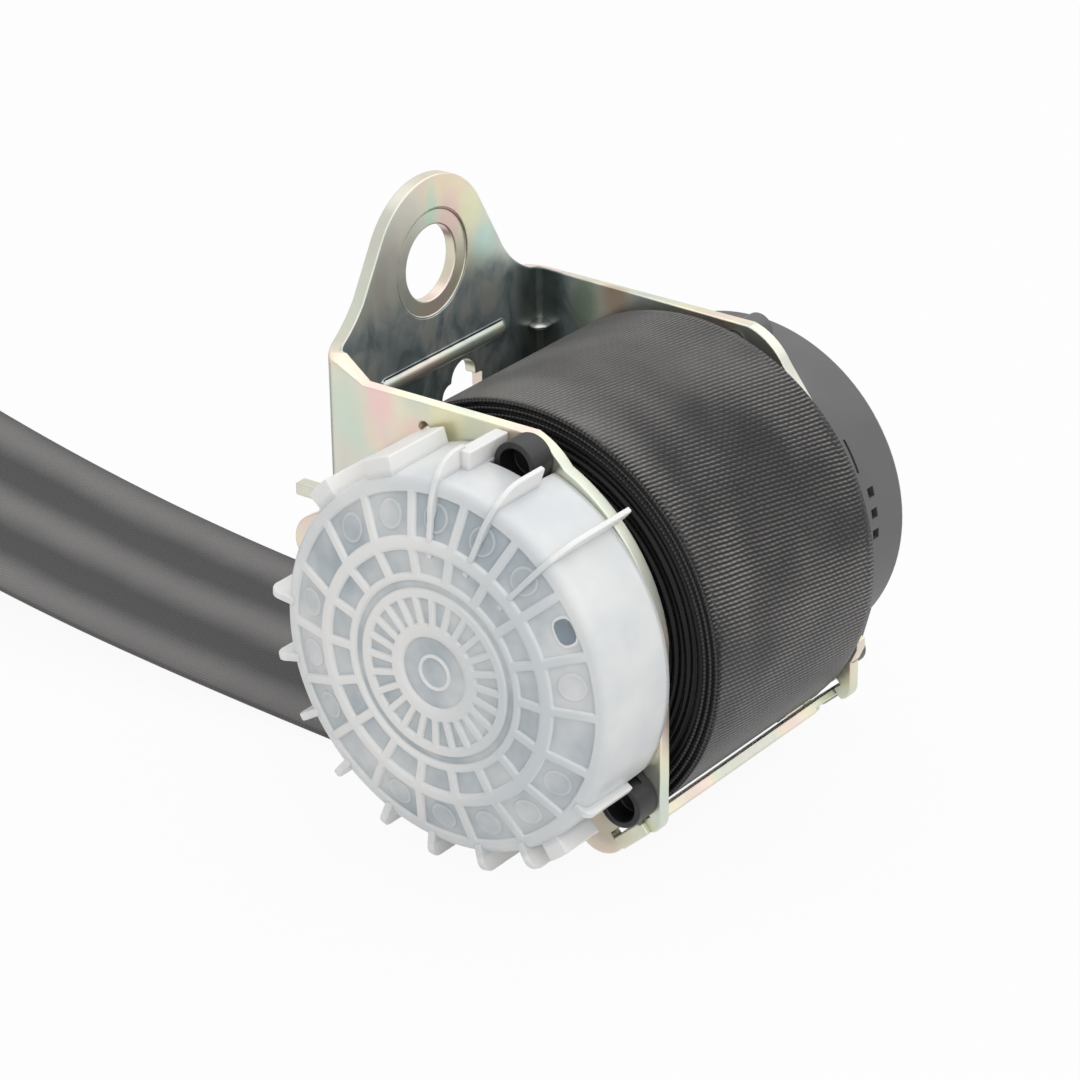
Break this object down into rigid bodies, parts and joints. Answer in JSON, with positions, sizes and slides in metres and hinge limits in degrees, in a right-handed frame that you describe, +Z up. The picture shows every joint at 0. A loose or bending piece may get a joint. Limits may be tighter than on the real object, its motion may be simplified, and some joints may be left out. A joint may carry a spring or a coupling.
{
  "type": "seat belt retractor",
  "caption": "Seat belt retractor: a full reel of webbing in a bent steel frame with a bolt tab, a spring cover, a locking cover, and the free strap with its anchor plate.",
  "frame": {"origin": "centre of the tab's bolt hole on the back plate's rear face", "axes": "+X along the spool axis from the spring side to the locking side, +Y rearwards out of the back plate, +Z up"},
  "size_m": [0.0929, 0.376, 0.1033],
  "materials": {
    "zinc_plated_steel": "yellow zinc passivation",
    "webbing": "woven polyester",
    "clear_cover": "translucent natural plastic",
    "black_plastic": "moulded",
    "grey_plastic": "fine moulded texture",
    "steel": "machined",
    "spring_steel": "blued strip",
    "aluminium": "die cast",
    "white_plastic": "moulded"
  },
  "bodies": {
    "retractor": {"frame": "zinc_plated_steel", "tie_bar": "zinc_plated_steel", "near_bush": "white_plastic", "far_bush": "white_plastic", "spring_base": "black_plastic", "spring_cover": "clear_cover", "clock_spring": "spring_steel", "pawl_pin": "steel", "pawl_spring": "spring_steel", "locking_cover": "grey_plastic", "sensor_block": "white_plastic", "lever_pin": "steel", "free_strap": "webbing", "end_loop": "webbing", "anchor_plate": "zinc_plated_steel"},
    "spool": {"spool": "aluminium", "spring_arbor": "white_plastic", "webbing_pin": "steel", "webbing_tail": "webbing", "webbing_reel": "webbing", "lock_wheel": "steel", "retaining_clip": "spring_steel", "disc_spring": "spring_steel"},
    "inertia_disc": {"inertia_disc": "aluminium"},
    "lock_pawl": {"lock_pawl": "steel"},
    "sensor_ball": {"sensor_ball": "steel"},
    "sensor_lever": {"sensor_lever": "white_plastic"}
  },
  "joints": [
    {"name": "spool_turn", "type": "hinge", "parent": "retractor", "child": "spool", "pos_m": [0, -0.0378, -0.0481], "axis": [1, 0, 0], "continuous": true, "stiffness_Nm_per_rad": 0.002, "deforming": ["clock_spring"]},
    {"name": "disc_lag", "type": "hinge", "parent": "spool", "child": "inertia_disc", "pos_m": [0.0383, -0.0378, -0.0481], "axis": [-1, 0, 0], "range_deg": [0, 15], "stiffness_Nm_per_rad": 0.01, "springref_deg": -5.73, "deforming": ["disc_spring"]},
    {"name": "pawl_swing", "type": "hinge", "parent": "retractor", "child": "lock_pawl", "pos_m": [0.0343, -0.03253, -0.07519], "axis": [-1, 0, 0], "range_deg": [0, 7], "stiffness_Nm_per_rad": 0.01, "springref_deg": -2.86, "deforming": ["pawl_spring"]},
    {"name": "ball_roll", "type": "hinge", "parent": "retractor", "child": "sensor_ball", "pos_m": [0.0401, -0.0436, -0.075], "axis": [1, 0, 0], "range_deg": [0, 12]},
    {"name": "lever_lift", "type": "hinge", "parent": "retractor", "child": "sensor_lever", "pos_m": [0.0401, -0.0306, -0.0758], "axis": [-1, 0, 0], "range_deg": [0, 5]}
  ],
  "couplings": [
    {"joint": "pawl_swing", "follows": "disc_lag", "ratio": 0.4666},
    {"joint": "lever_lift", "follows": "ball_roll", "ratio": 0.4166}
  ]
}
